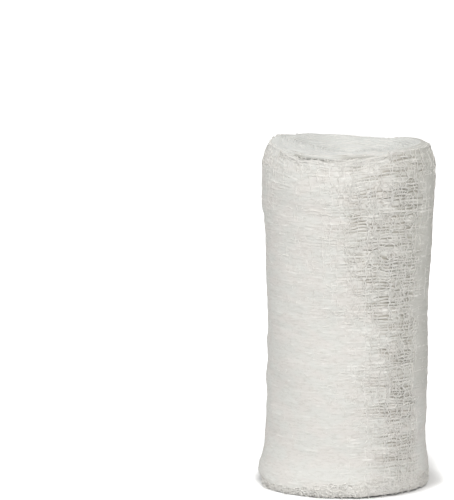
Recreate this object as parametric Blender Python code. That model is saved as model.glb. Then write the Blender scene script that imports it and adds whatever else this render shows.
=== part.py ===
"""A crinkle-weave gauze bandage, wound into a soft roll and standing on one end.

Metres, +Z up. The origin is the middle of the footprint, on the surface that the roll stands on.
The bandage is one long strip, so the roll is one solid: a waisted side with a step where the
strip ends, soft shoulders, a flat end to stand on, and a top with the trough between its turns.
"""

import math
from collections import namedtuple

import bmesh
import bpy

MM = 0.001

# Driving sizes
STRIP_WIDTH = 114.3 * MM  # 4.5 inches, which is the height of the wound roll
TAIL_STEP = 1.2 * MM  # the strip's thickness, as the step where it ends on the side
TAIL_ANGLE = math.radians(100)  # where the strip ends, from +X: round the back
SHOULDER = 1.6 * MM  # rounding between the side and the top
FOOT_CORNER = 1.8 * MM  # rounding between the side and the face that it stands on

# The side's outline: how far it reaches to the left (-X) and to the right (+X) at each height
Section = namedtuple("Section", "height left right")
SECTIONS = (
    Section(height=0.0 * MM, left=29.2 * MM, right=27.4 * MM),
    Section(height=4.0 * MM, left=29.4 * MM, right=27.8 * MM),
    Section(height=9.0 * MM, left=27.9 * MM, right=27.8 * MM),
    Section(height=14.0 * MM, left=27.1 * MM, right=27.3 * MM),
    Section(height=25.0 * MM, left=26.5 * MM, right=27.4 * MM),
    Section(height=40.0 * MM, left=26.2 * MM, right=27.8 * MM),
    Section(height=54.0 * MM, left=26.2 * MM, right=27.4 * MM),
    Section(height=68.0 * MM, left=26.8 * MM, right=27.8 * MM),
    Section(height=84.0 * MM, left=27.5 * MM, right=28.4 * MM),
    Section(height=97.0 * MM, left=28.5 * MM, right=29.2 * MM),
    Section(height=105.0 * MM, left=29.0 * MM, right=29.8 * MM),
    Section(height=111.0 * MM, left=28.5 * MM, right=29.6 * MM),
    Section(height=114.3 * MM, left=28.0 * MM, right=29.3 * MM),
)

# Soft lobes pressed into the side: how many round it, how far they twist up it, and their height
Lobe = namedtuple("Lobe", "count twist phase height")
LOBES = (
    Lobe(count=2, twist=0.6, phase=1.1, height=0.35 * MM),
    Lobe(count=3, twist=-1.7, phase=0.4, height=0.25 * MM),
    Lobe(count=5, twist=3.1, phase=2.3, height=0.12 * MM),
)

# The top: its far left stands higher, it is a little crowned, and its middle is drawn in
RIM_RISE = 2.6 * MM
RIM_RISE_ANGLE = math.radians(165)
CROWN = 1.4 * MM
EYE_DEPTH = 2.0 * MM
EYE_RADIUS = 4.0 * MM
MAIN_TURNS = 5  # of the turns that show at the top, those that the solid carries as a spiral trough
TROUGH_DEPTH = 0.9 * MM

# Mesh steps
COLUMNS = 64
SIDE_ROWS = 27
CORNER_ROWS = 3
TOP_RINGS = 18
FOOT_RINGS = 2

COTTON_COLOUR = (0.79, 0.78, 0.74, 1.0)
COTTON_ROUGHNESS = 0.95


def clear_scene():
    for obj in list(bpy.data.objects):
        bpy.data.objects.remove(obj)


def section_at(height):
    """How the side's middle leans to +X, and its radius, on a smooth curve through SECTIONS."""
    height = min(max(height, 0.0), STRIP_WIDTH)
    last = len(SECTIONS) - 1
    at = max(k for k in range(last) if SECTIONS[k].height <= height)
    low, high = SECTIONS[at], SECTIONS[at + 1]
    before, after = SECTIONS[max(at - 1, 0)], SECTIONS[min(at + 2, last)]
    span = high.height - low.height
    t = (height - low.height) / span
    reach = {}
    for name in ("left", "right"):
        start, end = getattr(low, name), getattr(high, name)
        slope_in = (end - getattr(before, name)) / (high.height - before.height) * span
        slope_out = (getattr(after, name) - start) / (after.height - low.height) * span
        reach[name] = (
            (2 * t**3 - 3 * t**2 + 1) * start
            + (t**3 - 2 * t**2 + t) * slope_in
            + (3 * t**2 - 2 * t**3) * end
            + (t**3 - t**2) * slope_out
        )
    return (reach["right"] - reach["left"]) / 2, (reach["right"] + reach["left"]) / 2


def rim_height(angle):
    """How high the rim of the top stands at an angle round the roll."""
    facing = max(0.0, math.cos(angle - RIM_RISE_ANGLE))
    return STRIP_WIDTH + RIM_RISE * facing**2


def side_point(turned, height, inset=0.0):
    """A point of the side, turned round from the strip's end, or inset from the side."""
    lean, radius = section_at(height)
    angle = TAIL_ANGLE + turned
    twist = math.pi * height / STRIP_WIDTH
    radius += sum(
        lobe.height * math.sin(lobe.count * angle + lobe.twist * twist + lobe.phase)
        for lobe in LOBES
    )
    radius -= TAIL_STEP * (turned / (2 * math.pi) - 0.5) + inset
    return lean + radius * math.cos(angle), radius * math.sin(angle), height


def turned_at(column):
    return 2 * math.pi * column / COLUMNS


def stepped_ring(height_of, inset):
    """A ring on the side, open at the strip's end: its first and last points are a step apart."""
    points = []
    for column in range(COLUMNS + 1):
        turned = turned_at(column)
        points.append(side_point(turned, height_of(TAIL_ANGLE + turned), inset))
    return points


def corner_arc(radius):
    """(inset, rise) pairs along a quarter round, from the flat face to the side, ends left out."""
    steps = [math.pi / 2 * k / (CORNER_ROWS + 1) for k in range(1, CORNER_ROWS + 1)]
    return [(radius * (1 - math.sin(a)), radius * (1 - math.cos(a))) for a in steps]


def side_rings():
    """The rings from the edge of the foot, up the side and over the shoulder."""
    rings = [stepped_ring(lambda angle: 0.0, FOOT_CORNER)]
    for inset, rise in corner_arc(FOOT_CORNER):
        rings.append(stepped_ring(lambda angle, up=rise: up, inset))
    for row in range(SIDE_ROWS + 1):
        share = row / SIDE_ROWS

        def height(angle, share=share):
            top = rim_height(angle) - SHOULDER
            return FOOT_CORNER + share * (top - FOOT_CORNER)

        rings.append(stepped_ring(height, 0.0))
    for inset, rise in reversed(corner_arc(SHOULDER)):
        rings.append(stepped_ring(lambda angle, down=rise: rim_height(angle) - down, inset))
    return rings


def top_height(share, angle):
    """The top's height at a share of the way out from its middle."""
    radius = share * (section_at(STRIP_WIDTH)[1] - SHOULDER)
    rim = STRIP_WIDTH + (rim_height(angle) - STRIP_WIDTH) * share**2
    crown = CROWN * math.sin(math.pi * share**3)
    eye = EYE_DEPTH * math.exp(-((radius / EYE_RADIUS) ** 2))
    turns_out = MAIN_TURNS * share + (angle - TAIL_ANGLE) / (2 * math.pi)
    fade = min(1.0, 4 * share, 8 * (1 - share))
    trough = TROUGH_DEPTH * fade * (0.5 - 0.5 * math.cos(2 * math.pi * turns_out))
    return rim + crown - eye - trough


def closed_ring(share, height_at, inset, edge_height):
    """A ring of an end face, a share of the way out to its edge, with no step in it."""
    points = []
    for column in range(COLUMNS):
        turned = turned_at(column)
        angle = TAIL_ANGLE + turned
        x, y, _ = side_point(turned, edge_height, inset)
        middle = section_at(edge_height)[0]
        points.append((middle + (x - middle) * share, y * share, height_at(share, angle)))
    return points


def add_ring(shape, points):
    return [shape.verts.new(point) for point in points]


def bridge_stepped(shape, low, high):
    """Joins two rings of the side, and closes the step between their ends."""
    for k in range(COLUMNS):
        shape.faces.new((low[k], low[k + 1], high[k + 1], high[k]))
    shape.faces.new((low[-1], low[0], high[0], high[-1]))


def bridge_to_closed(shape, stepped, closed):
    """Joins the side's last ring to a ring with no step, where the step runs out."""
    for k in range(COLUMNS):
        after = (k + 1) % COLUMNS
        shape.faces.new((stepped[k], stepped[k + 1], closed[after], closed[k]))
    shape.faces.new((stepped[-1], stepped[0], closed[0]))


def bridge_closed(shape, outer, inner):
    for k in range(COLUMNS):
        after = (k + 1) % COLUMNS
        shape.faces.new((outer[k], outer[after], inner[after], inner[k]))


def close_end(shape, edge, shares, height_at, inset, edge_height):
    """Fills an end of the roll with rings from its edge to its middle."""
    rings = [
        add_ring(shape, closed_ring(share, height_at, inset, edge_height)) for share in shares
    ]
    bridge_to_closed(shape, edge, rings[0])
    for outer, inner in zip(rings, rings[1:]):
        bridge_closed(shape, outer, inner)
    shape.faces.new(rings[-1])


def cotton_material():
    material = bpy.data.materials.new("cotton_gauze")
    material.use_nodes = True
    surface = material.node_tree.nodes["Principled BSDF"]
    surface.inputs["Base Color"].default_value = COTTON_COLOUR
    surface.inputs["Roughness"].default_value = COTTON_ROUGHNESS
    surface.inputs["Metallic"].default_value = 0.0
    return material


def centre_footprint(shape):
    """Moves the shape so that the origin is the middle of the box round its plan."""
    for axis in (0, 1):
        values = [vert.co[axis] for vert in shape.verts]
        middle = (min(values) + max(values)) / 2
        for vert in shape.verts:
            vert.co[axis] -= middle


def build_roll():
    shape = bmesh.new()
    rings = [add_ring(shape, points) for points in side_rings()]
    for low, high in zip(rings, rings[1:]):
        bridge_stepped(shape, low, high)
    top_shares = [1 - (k + 1) / (TOP_RINGS + 1) for k in range(TOP_RINGS)]
    close_end(shape, rings[-1], top_shares, top_height, SHOULDER, STRIP_WIDTH)
    foot_shares = [1 - (k + 1) / (FOOT_RINGS + 1) for k in range(FOOT_RINGS)]
    close_end(shape, rings[0], foot_shares, lambda share, angle: 0.0, FOOT_CORNER, 0.0)
    centre_footprint(shape)
    bmesh.ops.recalc_face_normals(shape, faces=shape.faces)
    mesh = bpy.data.meshes.new("gauze_roll")
    shape.to_mesh(mesh)
    shape.free()
    mesh.shade_smooth()
    mesh.set_sharp_from_angle(angle=math.radians(50))
    mesh.materials.append(cotton_material())
    roll = bpy.data.objects.new("gauze_roll", mesh)
    bpy.context.scene.collection.objects.link(roll)
    return roll


clear_scene()
build_roll()
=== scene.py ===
"""Looks of the gauze bandage roll: one strip of crinkle-weave cotton gauze, wound up.

The wound strip is one long sheet with a rounded section. Over its last turn lies its outer ply,
ribbed by the lengthwise yarns, and over that the crosswise yarns, the loose yarns and the frays.
Positions on the strip are (turned, along, lift): the angle wound in from the outer end, the
distance up its outer face from the middle of its foot edge, and the height over that face.
"""

import math
from collections import namedtuple

import bpy
import numpy as np
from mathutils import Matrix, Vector
from mathutils.bvhtree import BVHTree


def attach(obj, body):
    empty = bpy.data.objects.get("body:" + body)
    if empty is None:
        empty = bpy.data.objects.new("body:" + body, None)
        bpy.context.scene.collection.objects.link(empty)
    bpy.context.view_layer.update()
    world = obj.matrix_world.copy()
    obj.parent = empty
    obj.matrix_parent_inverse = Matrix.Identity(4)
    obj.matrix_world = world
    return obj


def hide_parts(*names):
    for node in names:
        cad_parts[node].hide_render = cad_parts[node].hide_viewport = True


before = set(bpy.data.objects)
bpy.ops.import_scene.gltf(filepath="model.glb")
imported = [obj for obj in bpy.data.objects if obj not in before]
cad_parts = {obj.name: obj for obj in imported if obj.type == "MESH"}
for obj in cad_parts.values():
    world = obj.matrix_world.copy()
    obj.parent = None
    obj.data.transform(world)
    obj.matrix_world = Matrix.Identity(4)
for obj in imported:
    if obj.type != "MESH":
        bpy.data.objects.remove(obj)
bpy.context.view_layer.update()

MM = 0.001
TURN = 2 * math.pi

# The strip as it is wound
STRIP_WIDTH = 114.3 * MM
TURN_PITCH = 1.2 * MM  # from one turn to the next, which is the step at the solid's back
STRIP_THICKNESS = 1.34 * MM  # its soft turns press into each other a little
EYE_RADIUS = 1.0 * MM  # of the innermost turn
TAIL_ANGLE = math.radians(100)  # where the strip ends, from +X
HALF = STRIP_THICKNESS / 2
QUARTER = math.pi / 2 * HALF  # a quarter of the way round one of its rounded edges
PLY_OVERLAP = 1.8 * QUARTER  # how far the outer ply reaches over the top edge
EDGE_ROUNDNESS = 0.5  # of the section at the edges: 1 is a half circle, and 0 is square
PLY_ROOM = 0.62 * MM  # how much deeper the last turn lies, to leave room for the outer ply

# Places round the roll, in degrees: 0 is the camera's side, 90 is +X, and 180 is behind
CREASE_AZIMUTH = -16  # the middle of the crease, where the inner turns bulge over the last one
HOOD_GAP_AZIMUTH = -20  # the middle of the stretch where the outer ply doesn't run on inwards
RAISED_RIGHT = 80  # the rim stands higher here
RAISED_FRONT = 6  # and here
ROLLED_RIGHT = 75  # the rim is rolled in here
LEANING_LEFT = -90  # the side leans in here near the top
TUCKED_LEFT = -100  # the foot is tucked under here
OPEN_FROM, OPEN_FULL = -16, 46  # the open band at the front right
OPEN_BORDER = (45, 64)  # where it ends, in the painted shade over the right side
RIGHT_SHADE_FROM, RIGHT_SHADE_TO = (18, 52), (100, 150)  # where the painted shade over the right side begins, and where it ends
BACK_BAND, BACK_BAND_REACH = -128, 44  # the open band at the back

# The lean of the left side
LEAN_START = 110 * MM
LEAN_RISE = 9 * MM
LEAN_SHARE = 0.16

# The camera, from the photograph
CAMERA_DISTANCE = 1.6
CAMERA_ELEVATION = math.radians(10.2)
CAMERA_LENS = 340
CAMERA_SENSOR = 36
AIM = Vector((-0.0407, 0.0, 0.0795))

# The light. Of a softbox, azimuth 0 is over the camera, and -90 is to its left
AMBIENT = 0.455
AMBIENT_COLOUR = (1.0, 0.99, 0.965)
RIGHT_SHARE = 0.45  # of AMBIENT, which is what comes from the far right
BACKGROUND_STRENGTH = 1.05
SOFTBOX_SIZE = 0.7
SOFTBOX_DISTANCE = 1.2
Softbox = namedtuple("Softbox", "name azimuth elevation energy colour")
SOFTBOXES = (
    Softbox(name="key", azimuth=11, elevation=40, energy=7.35, colour=(1.0, 0.998, 0.985)),
    Softbox(name="high_left", azimuth=-72, elevation=55, energy=2.9, colour=(0.96, 0.99, 1.0)),
)

# The floor shows plain white a little way from the roll, apart from the shadow at the roll's right
FLOOR_SIZE = 12
FLOOR_SHOWN = (0.93, 0.93, 0.93, 1)
FLOOR_LIT = (0.85, 0.85, 0.85, 1)  # what the light that it throws back is coloured by
FLOOR_GLOW = 0.75
GLOW_EDGE = (28 * MM, 36 * MM)  # how far from the roll's middle it starts, and is full
Edge = namedtuple("Edge", "axis none full")  # where the shadow starts, and where it is full
SHADOW_EDGES = (
    Edge(axis="X", none=0.0, full=20 * MM),
    Edge(axis="X", none=37.5 * MM, full=27 * MM),
    Edge(axis="Y", none=100 * MM, full=0.0),
    Edge(axis="Y", none=-14 * MM, full=-2 * MM),
)

# The yarns
RIB_COUNT = 112  # lengthwise yarns of the outer ply
RIB_COLUMNS = 284
HOOD_ROWS = 9  # rows of the outer ply that run on over the turns inside it
CROSS_COUNT = 76  # crosswise yarns round one turn
STRAND_COUNT = 860
CURL_COUNT = 520
FOOT_CURL_COUNT = 90
SQUIGGLE_COUNT = 320
EDGE_STRANDS = (-0.55, 0.0, 0.5)  # how far past the top of the edge, in quarters round it
EDGE_LOOP_SPACING = 2.4 * MM
BRIDGE_COUNT = 30
CREASE_STRAND_COUNT = 130
FOOT_FRAY_COUNT = 260
FOOT_LOOP_COUNT = 430
TAIL_FRAY_COUNT = 150
YARN_RADIUS = 0.13 * MM
LAST_YARN = 0.995 * TURN  # how far in from the strip's end the yarns on the last turn reach

# Colours
CLOTH_COLOUR = (0.815, 0.79, 0.76)
COOL_COLOUR = (0.80, 0.797, 0.767)  # in patches
# painted light: the top's cooler tone, for the cool light from above
TOP_COOL_LIGHT_COLOUR = (0.79, 0.797, 0.775)
RIGHT_SHADE_COLOUR = (0.665, 0.66, 0.62)  # painted shade over the outer ply's right side, where the light falls off
SHADE_COLOUR = (0.41, 0.378, 0.325)  # in the slits
YARN_COLOUR = (0.97, 0.955, 0.925)
DULL_YARN_COLOUR = (0.90, 0.88, 0.845)

# The weave's marks, along the strip and across it, and the fibres of a yarn
STROKE_SIZE = (2.2 * MM, 0.72 * MM)
THREAD_SIZE = (1.5 * MM, 1.0 * MM)
FUZZ_SIZE = (0.45 * MM, 0.3 * MM)
PATCH_SIZE = (8 * MM, 5 * MM)
FIBRE_SIZE = (0.2 * MM, 0.2 * MM)
LEVEL_RELIEF = 0.67  # "relief" is 0 in the gaps, this on level cloth, and 1 on the highest yarns


# Noise. Each use of it has its own seed, which is its last number

def smooth(share):
    return share * share * (3 - 2 * share)


def ramp(value, start, end):
    """0 before start and 1 past end, on a smooth curve between."""
    return smooth(np.clip((value - start) / (end - start), 0, 1))


def lattice(i, j, seed):
    """A fixed value from -1 to 1 for each corner of a grid of cells."""
    mixed = (i * 374761393 + j * 668265263 + seed * 974634777) & 0xFFFFFFFF
    mixed = ((mixed ^ (mixed >> 13)) * 1274126177) & 0xFFFFFFFF
    return ((mixed ^ (mixed >> 16)) & 0xFFFF) / 32767.5 - 1


def noise(x, y, cell_x, cell_y, seed):
    """Smooth noise from -1 to 1 over cells of this size."""
    column, row = np.broadcast_arrays(np.asarray(x) / cell_x, np.asarray(y) / cell_y)
    i, j = np.floor(column).astype(np.int64), np.floor(row).astype(np.int64)
    u, v = smooth(column - i), smooth(row - j)
    low = lattice(i, j, seed) * (1 - u) + lattice(i + 1, j, seed) * u
    high = lattice(i, j + 1, seed) * (1 - u) + lattice(i + 1, j + 1, seed) * u
    return low * (1 - v) + high * v


def yarn_noise(number, distance, cell, seed):
    """Noise along each yarn, with no likeness from one yarn to the next."""
    return noise(distance, number * 10.0, cell, 10.0, seed)


# The roll's outline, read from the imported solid

class Outline:
    """The solid's side as radii by angle and height, and its top as heights by angle and radius."""

    COLUMNS = 120
    ROWS = 70
    RINGS = 24
    LOW = 3.0 * MM
    HIGH = 111.5 * MM
    INNER_SHARE = 0.02  # of the mean radius
    OUTER_SHARE = 0.93
    BESIDE = 100 * MM  # rays towards the side start this far from the middle
    ABOVE = 300 * MM  # rays down to the top start this high
    STEP_MARGIN = math.radians(5)  # the solid's step is not read, but carried on to
    TROUGH_RINGS = 5  # rings from one of the solid's troughs to the next

    def __init__(self, solid):
        corners = [v.co for v in solid.data.vertices]
        faces = [tuple(p.vertices) for p in solid.data.polygons]
        tree = BVHTree.FromPolygons(corners, faces)
        self.turned = np.linspace(self.STEP_MARGIN, TURN - self.STEP_MARGIN, self.COLUMNS)
        self.heights = np.linspace(self.LOW, self.HIGH, self.ROWS)
        self.shares = np.linspace(self.INNER_SHARE, self.OUTER_SHARE, self.RINGS)
        self.radii = np.array([[self.reach(tree, t, h) for h in self.heights] for t in self.turned])
        self.mean_radius = float(self.radii.mean())
        tops = np.array([[self.rise(tree, t, s) for s in self.shares] for t in self.turned])
        self.tops = self.without_troughs(tops)

    def reach(self, tree, turned, height):
        outward = Vector((math.cos(TAIL_ANGLE + turned), math.sin(TAIL_ANGLE + turned), 0))
        start = outward * self.BESIDE + Vector((0, 0, height))
        return self.BESIDE - tree.ray_cast(start, -outward)[3]

    def rise(self, tree, turned, share):
        radius = share * self.mean_radius
        x = radius * math.cos(TAIL_ANGLE + turned)
        y = radius * math.sin(TAIL_ANGLE + turned)
        return self.ABOVE - tree.ray_cast(Vector((x, y, self.ABOVE)), Vector((0, 0, -1)))[3]

    def without_troughs(self, tops):
        """The top's mean height over the width of one trough."""
        pad = self.TROUGH_RINGS // 2
        padded = np.pad(tops, ((0, 0), (pad, pad)), mode="edge")
        windows = [padded[:, k:k + self.RINGS] for k in range(self.TROUGH_RINGS)]
        return np.mean(windows, axis=0)

    def read(self, table, rows, turned, row_at):
        """A table's value, between its columns by angle and its rows by height or share."""
        step = self.turned[1] - self.turned[0]
        column = (turned - self.turned[0]) / step
        i = np.clip(column.astype(int), 0, self.COLUMNS - 2)
        row = (row_at - rows[0]) / (rows[1] - rows[0])
        row = np.clip(row, 0, len(rows) - 1)
        j = np.clip(row.astype(int), 0, len(rows) - 2)
        u, v = column - i, row - j
        low = table[i, j] * (1 - u) + table[i + 1, j] * u
        high = table[i, j + 1] * (1 - u) + table[i + 1, j + 1] * u
        return low * (1 - v) + high * v

    def side(self, turned, height):
        """The side's radius without its step, so that it meets itself after a whole turn."""
        turned = np.mod(turned, TURN)
        return self.read(self.radii, self.heights, turned, height) + TURN_PITCH * turned / TURN

    def top(self, turned, radius):
        share = np.clip(radius / self.mean_radius, self.INNER_SHARE, self.OUTER_SHARE)
        return self.read(self.tops, self.shares, np.mod(turned, TURN), share)


outline = Outline(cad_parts["gauze_roll"])
MEAN_RADIUS = outline.mean_radius + TURN_PITCH / 2
LAST_TURNED = TURN * (MEAN_RADIUS - EYE_RADIUS) / TURN_PITCH


# The wound strip

def wound_in(turned):
    """The share of the outer radius that is left once the strip has turned this far in."""
    return 1 - TURN_PITCH * turned / TURN / MEAN_RADIUS


def length_at(turned):
    """The length of strip from its outer end."""
    return MEAN_RADIUS * turned * (1 + wound_in(turned)) / 2


def azimuth_at(turned):
    """Degrees round the roll: 0 is the camera's side, 90 is +X, 180 is behind."""
    return np.mod(np.degrees(TAIL_ANGLE + turned) + 90 + 180, 360) - 180


def plan_at(turned):
    """Where the strip is as seen from above, without its crinkles."""
    radius, angle = MEAN_RADIUS * wound_in(turned), TAIL_ANGLE + turned
    return radius * np.cos(angle), radius * np.sin(angle)


def facing(turned, azimuth):
    """1 where the roll faces an azimuth, falling to 0 at its sides."""
    return np.maximum(0, np.cos(np.radians(azimuth_at(turned) - azimuth)))


def outermost(turned, turns=1.0):
    """1 on the outer turns, fading to 0 over the last half turn of them."""
    return np.clip((TURN * turns - turned) / (TURN / 2), 0, 1)


def front_fold(turned):
    """1 at the front, where the inner turns bulge over the last one, and 0 elsewhere."""
    return 1 - ramp(np.abs(azimuth_at(turned) - CREASE_AZIMUTH), 17, 50)


def skirt(turned):
    """1 at the front, where the last turns splay at the foot and hang just clear of the floor."""
    front = 1 - ramp(np.abs(azimuth_at(turned)), 52, 86)
    return front * (1 - ramp(turned, 0.9 * TURN, 2.2 * TURN))


def fluffed(turned):
    """1 where the foot edge is loose and fluffy, and less at the left."""
    return 0.35 + 0.65 * ramp(azimuth_at(turned), -42, -8)


def foot_edge(turned):
    """Where the strip's lower edge is: scalloped a little above the surface it stands on."""
    length = length_at(turned)
    scallops = np.maximum(0, noise(length, 0, 2.4 * MM, 1, 11))
    slow = 0.5 + 0.5 * noise(length, 0, 17 * MM, 1, 12)
    clear = 0.5 + 0.5 * ramp(azimuth_at(turned), -15, 25)
    return (0.10 + 1.3 * scallops * slow + clear * skirt(turned)) * MM


def top_edge(turned):
    """Where the strip's upper edge is: the solid's top, as uneven as a soft folded edge."""
    length = length_at(turned)
    lumps = noise(*plan_at(turned), 7 * MM, 7 * MM, 21)
    own = noise(length, 0, 6 * MM, 1, 22)
    hem = noise(length, 0, 6 * MM, 1, 23)
    last = 1 - ramp(turned, 0.9 * TURN, 1.1 * TURN)
    right = facing(turned, RAISED_RIGHT) ** 2
    drop = last * (0.15 + 0.1 * right + (1.9 + 0.5 * hem) * front_fold(turned)) * MM
    rise = 1.7 * right * (1 - ramp(turned, 2.5 * TURN, 9 * TURN))
    rise = rise + facing(turned, RAISED_FRONT) ** 2 * (1 - ramp(turned, 2 * TURN, 7 * TURN))
    top = outline.top(turned, MEAN_RADIUS * wound_in(turned))
    return top + (0.50 * lumps + 0.10 * own + rise) * MM - drop


def crest_at(turned):
    """How far along the top of the upper edge is."""
    return top_edge(turned) - foot_edge(turned) - STRIP_THICKNESS + 2 * QUARTER


def openness(turned, along):
    """1 where the outer ply stands open and loose, and near 0 where it is pressed flat."""
    azimuth = azimuth_at(turned) + 5 * noise(along, 0, 7 * MM, 1, 43)
    azimuth = azimuth + 3 * noise(along, 0, 2 * MM, 1, 44)
    up = along / STRIP_WIDTH
    start = OPEN_FROM - 12 * ramp(up, 0.35, 0.85)
    front = 0.84 * ramp(azimuth, start, OPEN_FULL) + 0.16 * ramp(azimuth, -50, 10)
    border = azimuth + 6 * noise(along, 0, 19 * MM, 1, 45)
    front = front * (1 - 0.93 * ramp(border, *OPEN_BORDER))
    back = 0.7 * (1 - ramp(np.abs(azimuth - BACK_BAND), 0, BACK_BAND_REACH))
    by_height = 0.64 + 0.36 * ramp(up, 0.05, 0.35) - 0.25 * ramp(up, 0.86, 0.96)
    level = np.maximum(front, back) * by_height
    patches = noise(length_at(turned), along, 17 * MM, 8 * MM, 41)
    closed = 0.06 + 0.16 * ramp(up, 0.40, 0.90) + 0.16 * ramp(up, 0.92, 0.97)
    return np.clip(closed + (1 - closed) * level * (1 + 0.3 * patches) + 0.03 * patches, 0.03, 1)


def painted_right_shade(turned, along):
    """1 where the outer ply's right side is darkened with painted shade, as the light falls off
    towards its edge, and 0 elsewhere.
    """
    azimuth = azimuth_at(turned)
    up = along / STRIP_WIDTH
    right = ramp(azimuth, *RIGHT_SHADE_FROM) * (1 - ramp(azimuth, *RIGHT_SHADE_TO))
    by_height = ramp(up, 0.16, 0.40) * (0.8 + 0.2 * ramp(up, 0.45, 0.80))
    patches = noise(length_at(turned), along, 9 * MM, 6 * MM, 42)
    return right * by_height * (1 + 0.25 * patches)


def crumple(turned, height):
    """How far the cloth stands out or in with its soft crinkles."""
    length = length_at(turned)
    soft = 0.30 * MM * noise(length, height, 13 * MM, 6 * MM, 31)
    crinkle = 0.10 * MM * noise(length, height, 5 * MM, 1.7 * MM, 32)
    return (soft + crinkle) * outermost(turned, 1.6)


def top_sway(turned, level):
    """How far the turns lean aside near the top, bulge at the front, and roll in at the right."""
    swaying = ramp(level, 106 * MM, 113 * MM) * ramp(turned, 0.1 * TURN, 5 * TURN)
    sway = 0.40 * MM * noise(*plan_at(turned), 6 * MM, 6 * MM, 35) * swaying
    inner = ramp(turned, 0.95 * TURN, 1.2 * TURN) * (1 - ramp(turned, 1.7 * TURN, 4 * TURN))
    below = top_edge(turned) - level
    uneven = 1 + 0.35 * noise(length_at(turned), 0, 5 * MM, 1, 36)
    bulge = 1.1 * uneven * ramp(below, 2.1 * MM, 0.7 * MM) - 0.5 * ramp(below, 4.0 * MM, 2.6 * MM)
    rolled = facing(turned, ROLLED_RIGHT) * ramp(below, 5.5 * MM, 0.2 * MM)
    rolled = rolled * (1 - ramp(turned, 1.0 * TURN, 6 * TURN))
    return sway + (bulge * front_fold(turned) * inner - 1.6 * rolled) * MM


def left_lean(turned, level):
    """The share of the radius that is left where the left side leans in towards the top."""
    rise = np.clip((level - LEAN_START) / LEAN_RISE, 0, 1.3)
    return 1 - LEAN_SHARE * facing(turned, LEANING_LEFT) * rise ** 1.5


def foot_spread(turned, level):
    """How far the strip stands out near the floor: splayed at the front, tucked under elsewhere."""
    ragged = 1 + 0.5 * noise(length_at(turned), 0, 4.5 * MM, 1, 38)
    splayed = 1.2 * ragged * skirt(turned) * (1 - ramp(level, 0.5 * MM, 8 * MM))
    left = facing(turned, TUCKED_LEFT) * outermost(turned, 2.5)
    tucked = (0.4 + 2.0 * left) * (1 - skirt(turned)) * (1 - ramp(level, -0.5 * MM, 4 * MM))
    swollen = 0.5 * left * ramp(level, 0.5 * MM, 4 * MM) * (1 - ramp(level, 5 * MM, 13 * MM))
    return (splayed + swollen - tucked) * MM


def section_at(along, straight):
    """The strip's section, rounded over both edges: how far each point faces out and faces up.

    Also how high the point of the section's middle line next to it is, from where that line starts.
    """
    past_foot = along - QUARTER
    past_top = past_foot - straight
    under, over = past_foot < 0, past_top > 0
    foot_tilt = np.clip(along, -QUARTER, QUARTER) / HALF
    foot_out = np.sign(foot_tilt) * np.abs(np.sin(foot_tilt)) ** EDGE_ROUNDNESS
    foot_down = np.abs(np.cos(foot_tilt)) ** EDGE_ROUNDNESS
    top_tilt = np.clip(past_top, 0, 2 * QUARTER) / HALF
    over_out = np.sign(np.cos(top_tilt)) * np.abs(np.cos(top_tilt)) ** EDGE_ROUNDNESS
    over_up = np.abs(np.sin(top_tilt)) ** EDGE_ROUNDNESS
    out = np.where(under, foot_out, np.where(over, over_out, 1.0))
    up = np.where(under, -foot_down, np.where(over, over_up, 0.0))
    level = np.clip(past_foot, 0, straight) - np.maximum(0, past_top - 2 * QUARTER)
    return out, up, level


def strip_point(turned, along, lift=0.0):
    """A point on the roll's surface, or lifted off it."""
    turned, along, lift = np.broadcast_arrays(turned, along, lift)
    low, high = foot_edge(turned), top_edge(turned)
    out, up, level = section_at(along, high - low - STRIP_THICKNESS)
    level = level + low + HALF
    middle = outline.side(turned, level) * wound_in(turned) * left_lean(turned, level) - HALF
    middle = middle + crumple(turned, level) + top_sway(turned, level) + foot_spread(turned, level)
    radius = middle + (HALF + lift) * out
    height = level + (HALF + lift) * up
    angle = TAIL_ANGLE + turned
    return np.stack([radius * np.cos(angle), radius * np.sin(angle), height], axis=-1)


def over_turns(turned, turns_in):
    """A point on the tops of the turns, this many turns in, level across the furrows between."""
    turned, turns_in = np.broadcast_arrays(turned, turns_in)
    whole = np.floor(turns_in)
    share = (turns_in - whole)[..., None]
    start = turned + whole * TURN
    near, far = (strip_point(at, crest_at(at)) for at in (start, start + TURN))
    return near * (1 - share) + far * share


def hooded(turned):
    """1 where the outer ply runs on over the turns inside it, and 0 at the crease at the front."""
    return ramp(np.abs(azimuth_at(turned) - HOOD_GAP_AZIMUTH), 12, 44)


# Meshes

def new_mesh(name, points, quads, material, values=None, cloth=None, chart=None):
    """A smooth-shaded object from arrays of points and four-cornered faces.

    Values are named numbers at the points, cloth is each point's place on the flat strip, and chart
    is each face corner's place on the map that the materials are baked through.
    """
    mesh = bpy.data.meshes.new(name)
    mesh.vertices.add(len(points))
    mesh.vertices.foreach_set("co", points.astype(np.float32).ravel())
    mesh.loops.add(quads.size)
    mesh.loops.foreach_set("vertex_index", quads.astype(np.int32).ravel())
    mesh.polygons.add(len(quads))
    mesh.polygons.foreach_set("loop_start", np.arange(0, quads.size, 4, dtype=np.int32))
    mesh.update(calc_edges=True)
    for key, value in (values or {}).items():
        attribute = mesh.attributes.new(key, "FLOAT", "POINT")
        attribute.data.foreach_set("value", value.astype(np.float32).ravel())
    if cloth is not None:
        corners = cloth.reshape(-1, 2)[quads.ravel()]
        layer = mesh.uv_layers.new(name="cloth")
        layer.data.foreach_set("uv", corners.astype(np.float32).ravel())
    if chart is not None:
        layer = mesh.uv_layers.new(name="OFBake")
        layer.data.foreach_set("uv", chart.astype(np.float32).ravel())
    mesh.shade_smooth()
    mesh.materials.append(material)
    piece = bpy.data.objects.new(name, mesh)
    bpy.context.scene.collection.objects.link(piece)
    return piece


def grid_quads(rows, columns, wrap):
    """The faces of a grid of points, closed round its columns where wrap is set."""
    index = np.arange(rows * columns).reshape(rows, columns)
    if wrap:
        index = np.concatenate([index, index[:, :1]], axis=1)
    corners = [index[:-1, :-1], index[1:, :-1], index[1:, 1:], index[:-1, 1:]]
    return np.stack(corners, axis=-1).reshape(-1, 4)


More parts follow.
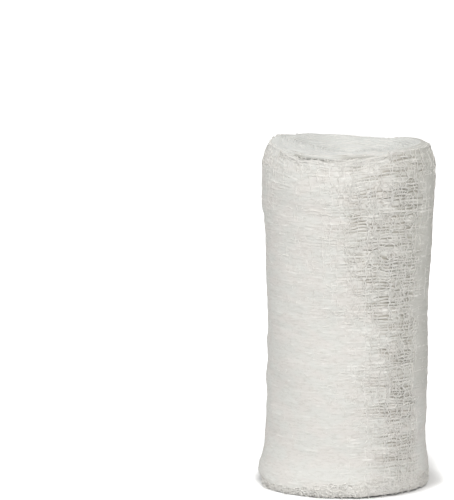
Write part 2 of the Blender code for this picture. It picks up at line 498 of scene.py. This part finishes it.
def grid_chart(rows, columns, wrap, bands=1):
    """A map laid out as the grid is, in the order of its faces, and cut into bands of rows."""
    across = columns if wrap else columns - 1
    i, j = np.meshgrid(np.arange(rows - 1), np.arange(across), indexing="ij")
    band = (i * bands // (rows - 1))[..., None]
    u = np.stack([i, i + 1, i + 1, i], axis=-1) / (rows - 1) * bands - band
    v = np.stack([j, j, j + 1, j + 1], axis=-1) / across
    v = (band + 0.02 + 0.96 * v) / bands
    return np.stack([u, v], axis=-1).reshape(-1, 4, 2)


def tapered(radius):
    """The radius along each yarn, drawn in at both ends."""
    steps = radius.shape[1]
    from_end = np.minimum(np.arange(steps), np.arange(steps)[::-1])[None, :]
    return radius * np.clip(0.15 + from_end / 2, 0, 1)


def laid(turned, along, lift, radius=YARN_RADIUS):
    """Yarns laid on the strip: their middle lines, the way out from the strip, and their radius."""
    centre = strip_point(turned, along, lift)
    outward = strip_point(turned, along, lift + 0.2 * MM) - centre
    return centre, outward, tapered(np.broadcast_to(radius, centre.shape[:-1]))


def yarns(name, families, material, sides=3):
    """Round yarns from families of middle lines, each line with its own tone.

    Each also has its own row of the map that the materials are baked through.
    """
    points, quads, tones, charts, first = [], [], [], [], 0
    total = sum(len(family[0]) for family in families)
    row = 0
    for centre, outward, radius in families:
        outward = outward / np.linalg.norm(outward, axis=-1, keepdims=True)
        centre[..., 2] = np.maximum(centre[..., 2], radius + 0.01 * MM)
        forward = np.gradient(centre, axis=-2)
        across = np.cross(forward, outward)
        across /= np.linalg.norm(across, axis=-1, keepdims=True)
        count, steps = radius.shape
        tube = []
        for side in range(sides):
            angle = TURN * (side + 0.5) / sides
            spoke = math.cos(angle) * outward + math.sin(angle) * across
            tube.append(centre + radius[..., None] * spoke)
        points.append(np.stack(tube, axis=2).reshape(-1, 3))
        starts = first + np.arange(count) * steps * sides
        quads.append((grid_quads(steps, sides, True)[None] + starts[:, None, None]).reshape(-1, 4))
        number = np.arange(count)[:, None]
        tone = 0.6 * lattice(number, 0, 401)
        tone = tone + 0.4 * noise(np.arange(steps)[None, :], number * 10, 9, 10, 402)
        tones.append(np.repeat(0.5 + 0.5 * tone, sides, axis=1).ravel())
        chart = np.repeat(grid_chart(steps, sides, True)[None], count, axis=0)
        chart[..., 1] = (0.1 + 0.8 * chart[..., 1] + row + number[..., None]) / total
        charts.append(chart.reshape(-1, 2))
        first += count * steps * sides
        row += count
    points, quads, tones, charts = (np.concatenate(part) for part in (points, quads, tones, charts))
    return new_mesh(name, points, quads, material, {"tone": tones}, chart=charts)


# Materials

def add_node(tree, kind, inputs=(), **settings):
    """A shader node with its settings, and its inputs as numbers or links."""
    made = tree.nodes.new(kind)
    for key, value in settings.items():
        setattr(made, key, value)
    for key, value in dict(inputs).items():
        if isinstance(value, bpy.types.NodeSocket):
            tree.links.new(value, made.inputs[key])
        else:
            made.inputs[key].default_value = value
    return made


def calculate(tree, operation, first, second=0.0):
    made = add_node(tree, "ShaderNodeMath", {0: first, 1: second}, operation=operation)
    return made.outputs[0]


def remap(tree, value, low, high, to_low=0.0, to_high=1.0):
    ends = {"Value": value, "From Min": low, "From Max": high, "To Min": to_low, "To Max": to_high}
    made = add_node(tree, "ShaderNodeMapRange", ends, interpolation_type="SMOOTHSTEP")
    return made.outputs[0]


def blend_colours(tree, share, first, second):
    made = add_node(tree, "ShaderNodeMix", data_type="RGBA")
    for socket, value in zip((0, 6, 7), (share, first, second)):
        if isinstance(value, bpy.types.NodeSocket):
            tree.links.new(value, made.inputs[socket])
        else:
            made.inputs[socket].default_value = value if socket == 0 else (*value, 1)
    return made.outputs[2]


def attribute(tree, name):
    return add_node(tree, "ShaderNodeAttribute", attribute_name=name).outputs["Fac"]


def grain(tree, place, size, detail=0.0, distortion=0.0):
    """Noise from 0 to 1 over cells of this size, in metres."""
    wide, high = size
    scale = add_node(tree, "ShaderNodeVectorMath", {0: place, 1: (1 / wide, 1 / high, 1 / high)})
    scale.operation = "MULTIPLY"
    inputs = {"Vector": scale.outputs[0], "Scale": 1.0, "Detail": detail, "Distortion": distortion}
    return add_node(tree, "ShaderNodeTexNoise", inputs).outputs["Fac"]


def cotton(name, colour):
    """Matt cotton yarn."""
    material = bpy.data.materials.new(name)
    material.use_nodes = True
    surface = material.node_tree.nodes["Principled BSDF"]
    surface.inputs["Base Color"].default_value = (*colour, 1)
    surface.inputs["Roughness"].default_value = 0.9
    surface.inputs["Sheen Weight"].default_value = 0.08
    surface.inputs["Sheen Roughness"].default_value = 0.5
    surface.inputs["Specular IOR Level"].default_value = 0.2
    return material


def bump(tree, height, strength, distance):
    """The surface's normal, with a fine relief of this height."""
    inputs = {"Strength": strength, "Distance": distance, "Height": height}
    return add_node(tree, "ShaderNodeBump", inputs).outputs[0]


def yarn_cotton(name):
    """Cotton yarns, each with its own tone, and the fine twist of its fibres."""
    material = cotton(name, YARN_COLOUR)
    tree = material.node_tree
    surface = tree.nodes["Principled BSDF"]
    place = add_node(tree, "ShaderNodeTexCoord").outputs["Object"]
    tone = remap(tree, attribute(tree, "tone"), 0.1, 0.9)
    tinted = blend_colours(tree, tone, DULL_YARN_COLOUR, YARN_COLOUR)
    tree.links.new(tinted, surface.inputs["Base Color"])
    fibres = grain(tree, place, FIBRE_SIZE, 2.0)
    tree.links.new(bump(tree, fibres, 0.4, 0.04 * MM), surface.inputs["Normal"])
    return material


def woven_cotton(name):
    """Crinkled gauze: short strokes of yarn with slits between, stronger where it is open. The slits
    and the gaps between the ribs are darkened with painted shade.
    """
    material = cotton(name, CLOTH_COLOUR)
    tree = material.node_tree
    surface = tree.nodes["Principled BSDF"]
    place = add_node(tree, "ShaderNodeUVMap", uv_map="cloth").outputs[0]
    free, relief = attribute(tree, "open"), attribute(tree, "relief")
    stroke_noise = grain(tree, place, STROKE_SIZE, 1.0, 0.6)
    strokes = remap(tree, stroke_noise, 0.36, 0.50)
    thread_noise = grain(tree, place, THREAD_SIZE, 0.0, 0.5)
    off_thread = calculate(tree, "ABSOLUTE", calculate(tree, "SUBTRACT", thread_noise, 0.5))
    threads = remap(tree, off_thread, 0.0, 0.045, 0.5, 0.0)
    fuzz = grain(tree, place, FUZZ_SIZE, 2.0)
    # painted shade in the slits, deeper where the cloth is open
    painted_shade = calculate(tree, "SUBTRACT", 1.0, strokes)
    painted_shade = calculate(tree, "MULTIPLY", painted_shade, remap(tree, free, 0.0, 1.0, 0.13, 0.46))
    painted_shade = calculate(tree, "SUBTRACT", painted_shade, threads)
    # painted shade in the gaps between the ribs and in the hollows, where the relief is low
    low = remap(tree, relief, 0.05, 0.47, 0.85, 0.0)
    painted_shade = calculate(tree, "MAXIMUM", painted_shade, low)
    patches = remap(tree, grain(tree, place, PATCH_SIZE, 1.0), 0.36, 0.64)
    tinted = blend_colours(tree, patches, CLOTH_COLOUR, COOL_COLOUR)
    # painted light: the top takes a cooler tone, for the cool light from above
    tinted = blend_colours(tree, attribute(tree, "top"), tinted, TOP_COOL_LIGHT_COLOUR)
    # painted shade over the right side, where the light falls off
    tinted = blend_colours(tree, attribute(tree, "thin"), tinted, RIGHT_SHADE_COLOUR)
    tinted = blend_colours(tree, remap(tree, relief, 0.69, 0.82), tinted, YARN_COLOUR)
    tree.links.new(blend_colours(tree, painted_shade, tinted, SHADE_COLOUR), surface.inputs["Base Color"])
    height = calculate(tree, "MULTIPLY", strokes, remap(tree, free, 0.0, 1.0, 0.25, 1.0))
    height = calculate(tree, "ADD", height, threads)
    height = calculate(tree, "ADD", height, calculate(tree, "MULTIPLY", fuzz, 0.3))
    tree.links.new(bump(tree, height, 0.6, 0.12 * MM), surface.inputs["Normal"])
    return material


# Pieces

def wound_strip(material):
    """The whole strip as one closed band. Its last turn lies a little deeper, under the outer ply."""
    columns = 1201
    turned_in = np.linspace(1, (EYE_RADIUS / MEAN_RADIUS) ** 1.5, columns) ** (2 / 3)
    turned = (1 - turned_in) * MEAN_RADIUS / TURN_PITCH * TURN
    foot_rows = 0.2 * np.linspace(0, 1, 7) ** 2
    near_top = np.array([0.93, 0.962, 0.972, 0.979, 0.985, 0.990, 0.995, 1])
    up = np.concatenate([foot_rows, np.linspace(0.26, 0.87, 10), near_top])
    straight = (top_edge(turned) - foot_edge(turned) - STRIP_THICKNESS)[:, None]
    over = np.linspace(0, 2 * QUARTER, 10)[None, 1:-1]
    under = np.linspace(-QUARTER, QUARTER, 6)[None, 1:-1]
    along = np.concatenate([
        QUARTER + up[None, :] * straight,
        QUARTER + straight + over,
        3 * QUARTER + straight + (1 - up[None, ::-1]) * straight,
        np.broadcast_to(under, (columns, under.shape[1])),
    ], axis=1)
    rows = along.shape[1]
    depth = PLY_ROOM * (1 - ramp(turned, 1.0 * TURN, 1.04 * TURN))[:, None]
    points = strip_point(turned[:, None], along, -depth).reshape(-1, 3)
    places = np.stack(np.broadcast_arrays(length_at(turned)[:, None], along), axis=-1)
    ring = np.roll(np.arange(rows), under.shape[1] // 2)
    left, right = ring[:rows // 2], ring[:rows // 2 - 1:-1]
    cap = np.stack([left[:-1], left[1:], right[1:], right[:-1]], axis=-1)
    faces = np.concatenate([
        grid_quads(columns, rows, True), cap[:, ::-1], (columns - 1) * rows + cap,
    ])
    chart = grid_chart(columns, rows, True, bands=4) * (1, 0.97)
    cap_chart = grid_chart(2, 2 * len(cap) + 1, False)[..., ::-1] * (1, 0.02) + (0, 0.975)
    chart = np.concatenate([chart, cap_chart])
    # the turns are darker in random mottles
    mottles = ramp(noise(places[..., 0], along, 2.6 * MM, 1.0 * MM, 37), -0.2, 0.9)
    # painted shade, dimming the lit lip where the inner turns bulge over the last one at the front
    lip_shade = (front_fold(turned) * (1 - ramp(turned, 2.0 * TURN, 4 * TURN)))[:, None]
    values = {
        "relief": LEVEL_RELIEF - 0.22 * mottles - 0.32 * lip_shade,
        "open": np.full(along.shape, 0.06),
        # painted light: the whole strip takes the top's cooler tone, for the cool light from above
        "top": np.ones(along.shape),
        "thin": np.zeros(along.shape),
    }
    return new_mesh("wound_strip", points, faces, material, values, places, chart)


def rib_along(turned, number):
    """Where a lengthwise yarn lies: spaced evenly up the strip, then drawn aside."""
    crest = crest_at(turned)
    share = number / RIB_COUNT
    level = STRIP_WIDTH + (crest - STRIP_WIDTH) * ramp(share, 0.7, 1.0)
    along = share * (level + PLY_OVERLAP)
    length = length_at(turned)
    slow = 0.30 * MM * noise(length, along, 9 * MM, 4 * MM, 51)
    quick = 0.36 * MM * noise(length, along, 3.2 * MM, 1.7 * MM, 52)
    azimuth = azimuth_at(turned)
    skew = 0.9 * MM * ramp(azimuth, 0, 62) * (1 - ramp(azimuth, 70, 150))
    aside = slow + quick * (0.5 + 0.5 * openness(turned, along)) - skew
    return along + aside * ramp(along, 0, 3 * MM) * ramp(crest - along, 0, 3 * MM)


def outer_ply(material):
    """A thin sheet over the last turn, with a rib for each lengthwise yarn: three rows to a rib."""
    turned = np.linspace(-0.012, TURN * 1.01, RIB_COLUMNS)[:, None]
    number = np.arange(RIB_COUNT * 3 + 1 + HOOD_ROWS)[None, :] / 3
    yarn = np.floor(number)
    crest = 0.5 - 0.5 * np.cos(TURN * (number - yarn))
    along = rib_along(turned, number)
    free = openness(turned, along)
    length = length_at(turned)
    dash = yarn_noise(yarn, length, 1.8 * MM, 53) + 0.6 * yarn_noise(yarn, length, 5 * MM, 54)
    top = (0.01 + 0.02 * free + (0.045 + 0.14 * free) * dash) * MM
    gap = ramp(yarn_noise(yarn, length, 5.0 * MM, 58), -0.35, 0.45)
    low = -(0.03 + 0.12 * free + 0.45 * gap * free**1.5) * MM
    hem = 1 - ramp(along, 1.6 * MM, 4.2 * MM)
    fade = 1.2 * MM + 4.5 * MM * facing(turned, ROLLED_RIGHT)
    rolled = 1 - 0.75 * ramp(along, crest_at(turned) - fade, crest_at(turned) + 3 * MM)
    lift = (low + (top - low) * crest) * rolled * (1 - 0.5 * hem)
    hollow = 1 - ramp(np.abs(noise(length, along, 1.7 * MM, 1.1 * MM, 57)), 0.03, 0.17)
    hollow = hollow * ramp(noise(length, along, 4 * MM, 2 * MM, 59), -0.3, 0.3)
    lift = lift + (0.09 - 0.30 * hollow) * MM * fluffed(turned) * hem
    points = strip_point(turned, along, lift)
    turns_in = np.maximum(0, along - crest_at(turned)) / TURN_PITCH
    sunk = 0.10 * ramp(turns_in, 0, 0.4) - 0.5 * ramp(turns_in, 2.0, 3.8)
    on_top = over_turns(turned, turns_in)
    on_top[..., 2] += sunk * MM + lift
    share = ((0.3 + 0.7 * hooded(turned)) * (turns_in > 0))[..., None]
    points = points * (1 - share) + on_top * share
    points[..., 2] = np.maximum(points[..., 2], 0.02 * MM)
    values = {
        "relief": np.clip(LEVEL_RELIEF + lift / (0.6 * MM), 0, 1),
        "open": free * rolled * (1 - 0.7 * hem),
        # painted light: the top's cooler tone, spread a little down the side
        "top": ramp(along, crest_at(turned) - 5.0 * MM, crest_at(turned) + 2.5 * MM),
        # painted shade over the right side, where the light falls off
        "thin": painted_right_shade(turned, along),
    }
    cloth = np.stack(np.broadcast_arrays(length, along), axis=-1)
    quads = grid_quads(RIB_COLUMNS, number.shape[1], False)
    chart = grid_chart(RIB_COLUMNS, number.shape[1], False)
    return new_mesh("outer_ply", points.reshape(-1, 3), quads, material, values, cloth, chart)


def draws(pick, low, high, count):
    """A random number from low to high for each yarn."""
    return pick.uniform(low, high, (count, 1))


def path(steps):
    """0 to 1 along a yarn."""
    return np.linspace(0, 1, steps)[None, :]


def arch(steps):
    """0 at both ends of a yarn, and 1 at its middle."""
    return np.sin(np.linspace(0, math.pi, steps))[None, :]


def on_last_turn(turned):
    return np.clip(turned, 0, LAST_YARN)


def turned_to(azimuth):
    """Where the last turn passes an azimuth."""
    return np.mod(np.radians(azimuth - 90) - TAIL_ANGLE, TURN)


def where_open(pick, free, least, count):
    """The first of these places, up to a count, whose openness passes a random bar."""
    return np.flatnonzero(free > pick.uniform(least, 1.0, len(free)))[:count]


def mostly_between(pick, low, high, count):
    """An azimuth for each yarn: two thirds of them from low to high, and the others all round."""
    number = np.arange(count)[:, None]
    return np.where(number % 3 > 0, draws(pick, low, high, count), draws(pick, 0, 360, count))


def crosswise():
    """Yarns across the strip, from its foot edge over its top edge, kinked and wandering."""
    count, steps = CROSS_COUNT, 430
    pick = np.random.default_rng(61)
    number = np.arange(count)[:, None]
    start = (number + 0.5 + draws(pick, -0.35, 0.35, count)) / count * LAST_YARN
    along = path(steps) * (crest_at(start) + QUARTER)
    free = openness(start, along)
    slow = 0.8 * MM * yarn_noise(number, along, 14 * MM, 62)
    wander = 0.55 * MM * yarn_noise(number, along, 2.4 * MM, 63)
    kink = 0.75 * MM * yarn_noise(number, along, 0.68 * MM, 64)
    turned = start + (slow + (wander + kink) * (0.35 + 0.65 * free)) / MEAN_RADIUS
    turned = on_last_turn(turned)
    over = yarn_noise(number, along, 1.3 * MM, 65)
    lift = (-0.34 + 0.76 * free + (0.10 + 0.26 * free) * over) * MM
    own = 0.22 * lattice(number, 0, 67) + 0.2 * yarn_noise(number, along, 5 * MM, 66)
    return laid(turned, along, lift, YARN_RADIUS * (1.05 + 0.4 * free + own))


def strands(count, seed):
    """Lengths of yarn that stand out along the strip, most of them where it is open."""
    steps = 24
    pick = np.random.default_rng(seed)
    turned = pick.uniform(0.01, 0.92, 8 * count) * TURN
    rib = pick.integers(1, RIB_COUNT - 1, 8 * count) + 0.5
    kept = where_open(pick, openness(turned, rib_along(turned, rib)), 0.0, count)
    number = np.arange(len(kept))[:, None]
    walked = path(steps) * draws(pick, 4, 9, len(kept)) * MM
    turned = on_last_turn(turned[kept, None] + walked / MEAN_RADIUS)
    length = length_at(turned)
    along = rib_along(turned, rib[kept, None])
    along = along + 0.22 * MM * yarn_noise(number, walked, 3.2 * MM, seed + 1)
    along = along + 0.24 * MM * yarn_noise(number, walked, 1.1 * MM, seed + 2)
    free = openness(turned, along)
    over = yarn_noise(number, length, 2.3 * MM, seed + 3)
    lift = (-0.30 + (0.19 + 0.28 * free) * arch(steps) ** 0.5 + (0.06 + 0.12 * free) * over) * MM
    radius = YARN_RADIUS * (0.95 + 0.3 * free + 0.2 * yarn_noise(number, length, 4 * MM, seed + 4))
    return laid(turned, along, lift, radius)


def squiggles(count, seed):
    """Short lengths of the crosswise yarns that stand out and kink, most where it is open."""
    steps = 20
    pick = np.random.default_rng(seed)
    turned = pick.uniform(0.02, 0.97, 12 * count) * TURN
    along = pick.uniform(0.5 * MM, STRIP_WIDTH - 9 * MM, 12 * count)
    kept = where_open(pick, openness(turned, along), 0.4, count)
    turned, along = turned[kept, None], along[kept, None]
    number = np.arange(len(kept))[:, None]
    walked = path(steps) * draws(pick, 4, 8, len(kept)) * MM
    aside = 0.55 * MM * yarn_noise(number, walked, 0.62 * MM, seed + 1)
    aside = aside + 0.5 * MM * yarn_noise(number, walked, 2.6 * MM, seed + 2)
    turned = on_last_turn(turned + aside / MEAN_RADIUS)
    along = along + walked
    free = openness(turned, along)
    over = yarn_noise(number, walked, 1.4 * MM, seed + 3)
    lift = (-0.35 + (0.25 + 0.48 * free) * arch(steps) ** 0.5 + (0.08 + 0.16 * free) * over) * MM
    radius = YARN_RADIUS * (0.8 + 0.3 * free + 0.2 * yarn_noise(number, walked, 3 * MM, seed + 4))
    return laid(turned, along, lift, radius)


def curls(count, low, high, step, seed):
    """Loose ends and loops of yarn lying on the outer ply, most of them where it is open."""
    steps = 16
    pick = np.random.default_rng(seed)
    turned = pick.uniform(0.03, 0.97, 8 * count) * TURN
    along = pick.uniform(low, high, 8 * count)
    kept = where_open(pick, openness(turned, along), 0.02, count)
    turned, along = turned[kept, None], along[kept, None]
    number = np.arange(len(kept))[:, None]
    walked = np.arange(steps)[None, :] * step
    bend = draws(pick, -0.5, 0.5, len(kept)) * walked / step
    heading = draws(pick, 0, TURN, len(kept)) + bend
    heading = heading + 1.6 * yarn_noise(number, walked, 1.5 * MM, seed + 1)
    along = along + np.cumsum(np.sin(heading), axis=1) * step
    turned = turned + np.cumsum(np.cos(heading), axis=1) * step / MEAN_RADIUS
    turned = on_last_turn(turned)
    along = np.clip(along, 0.1 * MM, STRIP_WIDTH)
    hump = 0.22 + arch(steps) * draws(pick, 0, 0.35, len(kept))
    over = 0.1 * yarn_noise(number, walked, 1.2 * MM, seed + 2)
    lift = (-0.12 + hump * openness(turned, along) + over) * MM
    return laid(turned, along, lift, 0.8 * YARN_RADIUS)


def edge_loops():
    """Crosswise yarns turning over the strip's top edge, all the way in to the eye."""
    steps = 9
    pick = np.random.default_rng(81)
    count = int(float(length_at(LAST_TURNED)) / EDGE_LOOP_SPACING)
    length = (np.arange(count) + pick.uniform(-0.4, 0.4, count)) * EDGE_LOOP_SPACING
    all_turned = np.linspace(0, LAST_TURNED, 4000)
    turned = np.interp(length, length_at(all_turned), all_turned)[:, None]
    number = np.arange(count)[:, None]
    share = np.linspace(-0.9, 0.9, steps)[None, :]
    along = crest_at(turned) + share * QUARTER
    aside = 0.8 * MM * yarn_noise(number, share, 0.6, 82)
    turned = turned + aside / (MEAN_RADIUS * wound_in(turned))
    lift = (-0.09 + 0.07 * yarn_noise(number, share, 0.7, 83)) * MM
    return laid(turned, along, lift, 1.1 * YARN_RADIUS)


def edge_strands():
    """Lengthwise yarns that run along the strip's top edge, all the way in to the eye."""
    steps = 1500
    number = np.arange(len(EDGE_STRANDS))[:, None]
    turned = np.linspace(0.02, LAST_TURNED, steps)[None, :] + number * 0.01
    length = length_at(turned)
    aside = np.array(EDGE_STRANDS)[:, None] * QUARTER
    along = crest_at(turned) + aside + 0.30 * MM * yarn_noise(number, length, 2.6 * MM, 92)
    lift = (-0.09 + 0.09 * yarn_noise(number, length, 3 * MM, 93)) * MM
    radius = 1.1 * YARN_RADIUS * (1 + 0.2 * yarn_noise(number, length, 4 * MM, 94))
    return laid(turned, along, lift, radius)


def foot_frays():
    """Short curled ends that spill from the foot edge onto the surface it stands on."""
    count, steps = FOOT_FRAY_COUNT, 14
    pick = np.random.default_rng(101)
    number = np.arange(count)[:, None]
    turned = turned_to(mostly_between(pick, -80, 80, count))
    turned = np.clip(turned, 0.02, TURN * 0.985)
    share = path(steps)
    loop = np.sin(math.pi * np.minimum(share * draws(pick, 0.8, 1.5, count), 1))
    reach = 0.3 + 1.7 * draws(pick, 0, 1, count) ** 2 * (0.35 + 0.65 * skirt(turned))
    along = draws(pick, 0.9, 2.2, count) * MM * (1 - share) + 0.7 * QUARTER * loop
    lift = reach * loop * MM
    aside = draws(pick, -2.0, 2.0, count) * MM * share
    aside = aside + 0.7 * MM * yarn_noise(number, share, 0.3, 102)
    turned = on_last_turn(turned + aside / MEAN_RADIUS)
    return laid(turned, along, lift, 1.1 * YARN_RADIUS)


def foot_loops():
    """Small loops of yarn along the foot edge, standing on the face of the outer ply."""
    count, steps = FOOT_LOOP_COUNT, 14
    pick = np.random.default_rng(131)
    number = np.arange(count)[:, None]
    middle = turned_to(mostly_between(pick, -45, 76, count))
    middle = np.clip(middle, 0.03, TURN * 0.985)
    size = draws(pick, 0.35, 1.05, count) * MM
    bend = draws(pick, 0, TURN, count) + path(steps) * TURN * 0.95
    ragged = 1 + 0.35 * yarn_noise(number, bend, 1.0, 132)
    turned = middle + 1.4 * size * ragged * np.cos(bend) / MEAN_RADIUS
    reach = 4.2 * draws(pick, 0, 1, count) ** 2 * fluffed(middle)
    along = (0.2 + reach) * MM + size * ragged * np.sin(bend)
    lift = (0.24 + 0.14 * yarn_noise(number, bend, 1.6, 133)) * MM
    return laid(on_last_turn(turned), np.maximum(along, -0.3 * MM), lift, 1.25 * YARN_RADIUS)


def crease_bridges():
    """Yarns across the crease at the front, from the turns inside it down the side."""
    count, steps = BRIDGE_COUNT, 16
    pick = np.random.default_rng(121)
    number = np.arange(count)[:, None]
    turned = turned_to(draws(pick, -62, 44, count))
    inside = draws(pick, 0.9, 2.2, count) * TURN_PITCH
    below = draws(pick, 0.8, 4.5, count) * MM
    down = -inside + (inside + below) * path(steps)
    aside = down * draws(pick, -1.2, 1.2, count)
    aside = aside + 0.9 * MM * yarn_noise(number, down, 1.6 * MM, 122)
    turned = turned + aside / MEAN_RADIUS
    lift = (0.02 + 0.10 * yarn_noise(number, down, 1.2 * MM, 123)) * MM
    on_top = over_turns(turned, np.maximum(-down, 0) / TURN_PITCH)
    on_top[..., 2] += lift
    on_side, outward, radius = laid(turned, crest_at(turned) - np.maximum(down, 0), lift)
    return np.where((down < 0)[..., None], on_top, on_side), outward, radius


def crease_strands():
    """Yarns that lie along the crease at the front, and close it in places."""
    count, steps = CREASE_STRAND_COUNT, 20
    pick = np.random.default_rng(141)
    number = np.arange(count)[:, None]
    start = turned_to(draws(pick, -60, 30, count))
    walked = path(steps) * draws(pick, 4, 11, count) * MM
    turned = start + walked / MEAN_RADIUS
    aside = draws(pick, -1.6, 1.5, count) + 0.35 * yarn_noise(number, walked, 2.4 * MM, 142)
    lift = (0.05 + 0.16 * yarn_noise(number, walked, 1.8 * MM, 143)) * MM
    on_top = over_turns(turned, np.clip(aside, 0, 1.6))
    on_top[..., 2] += lift - 0.12 * MM * np.sin(math.pi * np.clip(aside, 0, 1))
    on_side, outward, radius = laid(turned, crest_at(turned) + np.minimum(aside, 0) * MM, lift)
    return np.where((aside > 0)[..., None], on_top, on_side), outward, radius


def tail_frays():
    """Cut ends of the lengthwise yarns where the strip ends, dropping to the turn beneath."""
    count, steps = TAIL_FRAY_COUNT, 10
    pick = np.random.default_rng(111)
    number = np.arange(count)[:, None]
    share = path(steps)
    past = share * draws(pick, 0.6, 4.0, count) * MM
    turned = (0.3 * MM - past) / MEAN_RADIUS
    along = (number + draws(pick, 0.2, 0.8, count)) / count * (STRIP_WIDTH - 2 * MM) + MM
    along = along + share * 1.6 * MM * yarn_noise(number, past, 1.6 * MM, 112)
    fall = TURN_PITCH * ramp(past, 0, 1.6 * MM)
    lift = 0.02 * MM - fall + 0.12 * MM * yarn_noise(number, past, 1.2 * MM, 113)
    return laid(turned, along, lift)


# Stage, light and camera

def look_apart(tree, lighting, seen, surface):
    """Sets a surface that the camera sees as one shader, and that gives light as another."""
    ray = add_node(tree, "ShaderNodeLightPath").outputs["Is Camera Ray"]
    mix = add_node(tree, "ShaderNodeMixShader", {0: ray, 1: lighting, 2: seen})
    tree.links.new(mix.outputs[0], surface)


def make_stage():
    bpy.ops.mesh.primitive_plane_add(size=FLOOR_SIZE, location=(0, 0, 0))
    floor = bpy.context.object
    floor.name = "floor"
    material = bpy.data.materials.new("floor_white")
    material.use_nodes = True
    tree = material.node_tree
    tree.nodes.clear()
    output = add_node(tree, "ShaderNodeOutputMaterial")
    shown = add_node(tree, "ShaderNodeBsdfDiffuse", {"Color": FLOOR_SHOWN}).outputs[0]
    lit = add_node(tree, "ShaderNodeBsdfDiffuse", {"Color": FLOOR_LIT}).outputs[0]
    place = add_node(tree, "ShaderNodeTexCoord").outputs["Object"]
    away = add_node(tree, "ShaderNodeVectorMath", {0: place}, operation="LENGTH").outputs["Value"]
    apart = add_node(tree, "ShaderNodeSeparateXYZ", {0: place})
    shadow = 1.0
    for edge in SHADOW_EDGES:
        inside = remap(tree, apart.outputs[edge.axis], edge.none, edge.full)
        shadow = calculate(tree, "MULTIPLY", shadow, inside)
    glow = remap(tree, away, *GLOW_EDGE, 0.0, FLOOR_GLOW)
    glow = calculate(tree, "MULTIPLY", glow, calculate(tree, "SUBTRACT", 1.0, shadow))
    far = add_node(tree, "ShaderNodeEmission", {"Strength": glow}).outputs[0]
    both = add_node(tree, "ShaderNodeAddShader", {0: shown, 1: far}).outputs[0]
    look_apart(tree, lit, both, output.inputs["Surface"])
    floor.data.materials.append(material)


def make_world():
    """A white studio: soft light from all round, and a background that shows as plain white."""
    world = bpy.data.worlds.new("studio")
    bpy.context.scene.world = world
    world.use_nodes = True
    tree = world.node_tree
    plain = {"Color": (1, 1, 1, 1), "Strength": BACKGROUND_STRENGTH}
    shown = add_node(tree, "ShaderNodeBackground", plain).outputs[0]
    way = add_node(tree, "ShaderNodeTexCoord").outputs["Generated"]
    right = add_node(tree, "ShaderNodeSeparateXYZ", {0: way}).outputs["X"]
    strength = remap(tree, right, 0.1, 0.85, AMBIENT, AMBIENT * RIGHT_SHARE)
    background = tree.nodes["Background"]
    background.inputs["Color"].default_value = (*AMBIENT_COLOUR, 1)
    tree.links.new(strength, background.inputs["Strength"])
    look_apart(tree, background.outputs[0], shown, tree.nodes["World Output"].inputs["Surface"])


def make_softbox(softbox):
    """A round soft light, aimed at the middle of the roll."""
    light = bpy.data.lights.new(softbox.name, "AREA")
    light.shape = "DISK"
    light.size = SOFTBOX_SIZE
    light.energy = softbox.energy
    light.color = softbox.colour
    box = bpy.data.objects.new(softbox.name, light)
    azimuth, elevation = math.radians(softbox.azimuth), math.radians(softbox.elevation)
    away = Vector((
        math.sin(azimuth) * math.cos(elevation),
        -math.cos(azimuth) * math.cos(elevation),
        math.sin(elevation),
    ))
    box.location = away * SOFTBOX_DISTANCE + Vector((0, 0, STRIP_WIDTH / 2))
    box.rotation_euler = away.to_track_quat("Z", "Y").to_euler()
    bpy.context.scene.collection.objects.link(box)


def make_camera():
    data = bpy.data.cameras.new("camera")
    data.lens = CAMERA_LENS
    data.sensor_width = CAMERA_SENSOR
    data.clip_start, data.clip_end = 0.05, 50
    camera = bpy.data.objects.new("camera", data)
    back = Vector((0, -math.cos(CAMERA_ELEVATION), math.sin(CAMERA_ELEVATION)))
    camera.location = AIM + back * CAMERA_DISTANCE
    camera.rotation_euler = back.to_track_quat("Z", "Y").to_euler()
    bpy.context.scene.collection.objects.link(camera)
    bpy.context.scene.camera = camera


make_camera()
make_stage()
make_world()
for softbox in SOFTBOXES:
    make_softbox(softbox)
bpy.context.scene.view_settings.view_transform = "Standard"

gauze = woven_cotton("gauze")
loose_cotton = yarn_cotton("gauze_yarn")

strip = wound_strip(gauze)
pieces = [
    strip,
    outer_ply(gauze),
    yarns("crosswise_yarns", [crosswise()], loose_cotton),
    yarns("loose_yarns", [
        strands(STRAND_COUNT, seed=300),
        curls(CURL_COUNT, low=0, high=STRIP_WIDTH, step=0.30 * MM, seed=200),
        curls(FOOT_CURL_COUNT, low=0, high=5 * MM, step=0.28 * MM, seed=210),
    ], loose_cotton),
    yarns("kinked_yarns", [squiggles(SQUIGGLE_COUNT, seed=150)], loose_cotton),
    yarns("edge_yarns", [
        edge_loops(), edge_strands(), crease_bridges(), crease_strands()
    ], loose_cotton),
    yarns("frays", [foot_frays(), foot_loops(), tail_frays()], loose_cotton),
]
for piece in pieces:
    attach(piece, "root")
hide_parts("gauze_roll")
